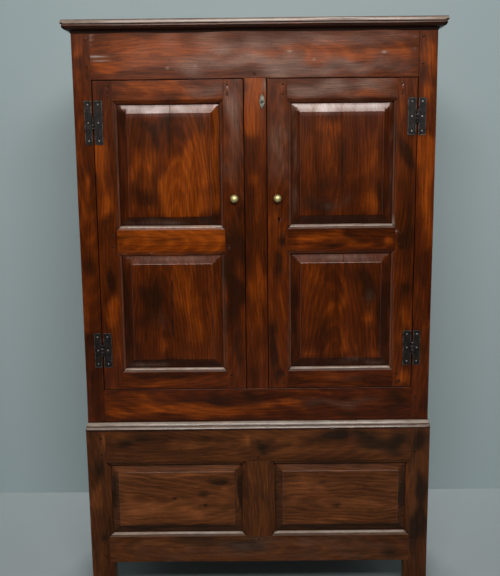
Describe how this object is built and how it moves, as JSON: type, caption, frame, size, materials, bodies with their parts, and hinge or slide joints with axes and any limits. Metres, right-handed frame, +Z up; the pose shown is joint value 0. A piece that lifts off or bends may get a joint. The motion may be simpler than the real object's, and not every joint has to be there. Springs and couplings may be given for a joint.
{
  "type": "court cupboard",
  "caption": "Joined oak press in two stages: a hanging cupboard with two fielded panel doors on H hinges, over a closed panelled base on four legs.",
  "frame": {"origin": "on the floor, under the middle of the whole outline", "axes": "+X to the right seen from the front, +Y to the back, +Z up; the doors face -Y"},
  "size_m": [1.256, 0.528, 2.023],
  "materials": {
    "backing_oak": "raw, aged and dusty",
    "base_oak": "waxed, darker and duller",
    "base_panel_oak": "waxed, with a curly figure",
    "black_iron": "blackened, rubbed on the edges",
    "brass": "polished, dull in the neck",
    "button_iron": "grey green patina",
    "carcass_oak": "waxed, worn and dirty in the corners",
    "door_oak": "waxed, worn and dirty in the corners",
    "door_panel_oak": "waxed, glossy",
    "inside_oak": "raw, rubbed",
    "moulding_oak": "waxed, rubbed on the rounds",
    "nail_iron": "rubbed heads",
    "peg_oak": "end grain, dark"
  },
  "bodies": {
    "root": {"back_boards": "backing_oak", "back_rails": "backing_oak", "base_bottom_rail": "base_oak", "base_floor_boards": "backing_oak", "base_left_back_leg": "base_oak", "base_left_front_leg": "base_oak", "base_left_panel": "base_panel_oak", "base_muntin": "base_oak", "base_right_back_leg": "base_oak", "base_right_front_leg": "base_oak", "base_right_panel": "base_panel_oak", "base_side_panels": "base_panel_oak", "base_side_rails": "base_oak", "base_top_rail": "base_oak", "centre_muntin": "carcass_oak", "clothes_pegs": "inside_oak", "cornice_front": "moulding_oak", "cornice_returns": "moulding_oak", "frame_hinge_leaves": "black_iron", "frame_hinge_nails": "nail_iron", "frame_pegs": "peg_oak", "frieze_rail": "carcass_oak", "hinge_pins": "black_iron", "peg_rail": "inside_oak", "top_boards": "backing_oak", "turn_button_screw": "button_iron", "upper_bottom_rail": "carcass_oak", "upper_left_back_stile": "carcass_oak", "upper_left_front_stile": "carcass_oak", "upper_right_back_stile": "carcass_oak", "upper_right_front_stile": "carcass_oak", "upper_side_panels": "door_panel_oak", "upper_side_rails": "carcass_oak", "waist_moulding": "moulding_oak"},
    "left_door": {"left_door_bottom_rail": "door_oak", "left_door_hinge_leaves": "black_iron", "left_door_hinge_nails": "nail_iron", "left_door_hinge_stile": "door_oak", "left_door_lower_panel": "door_panel_oak", "left_door_meeting_stile": "door_oak", "left_door_middle_rail": "door_oak", "left_door_pegs": "peg_oak", "left_door_top_rail": "door_oak", "left_door_upper_panel": "door_panel_oak"},
    "right_door": {"right_door_bottom_rail": "door_oak", "right_door_hinge_leaves": "black_iron", "right_door_hinge_nails": "nail_iron", "right_door_hinge_stile": "door_oak", "right_door_lower_panel": "door_panel_oak", "right_door_meeting_stile": "door_oak", "right_door_middle_rail": "door_oak", "right_door_pegs": "peg_oak", "right_door_top_rail": "door_oak", "right_door_upper_panel": "door_panel_oak", "right_knob": "brass", "lock_case": "black_iron"},
    "turn_button": {"turn_button": "button_iron"},
    "left_latch": {"left_knob": "brass", "left_latch_tongue": "black_iron"},
    "lock_bolt": {"lock_bolt": "black_iron"}
  },
  "joints": [
    {"name": "left_door_swing", "type": "hinge", "parent": "root", "child": "left_door", "pos_m": [-0.53775, -0.2412, 1.306], "axis": [0, 0, -1], "range_deg": [0, 170]},
    {"name": "right_door_swing", "type": "hinge", "parent": "root", "child": "right_door", "pos_m": [0.53775, -0.2412, 1.306], "axis": [0, 0, 1], "range_deg": [0, 170]},
    {"name": "turn_button_turn", "type": "hinge", "parent": "root", "child": "turn_button", "pos_m": [0.0235, -0.2383, 1.761], "axis": [0, 1, 0], "continuous": true},
    {"name": "left_latch_turn", "type": "hinge", "parent": "left_door", "child": "left_latch", "pos_m": [-0.0725, -0.226, 1.442], "axis": [0, -1, 0], "range_deg": [0, 90]},
    {"name": "lock_bolt_slide", "type": "slide", "parent": "right_door", "child": "lock_bolt", "axis": [-1, 0, 0], "range_m": [0, 0.014]}
  ]
}
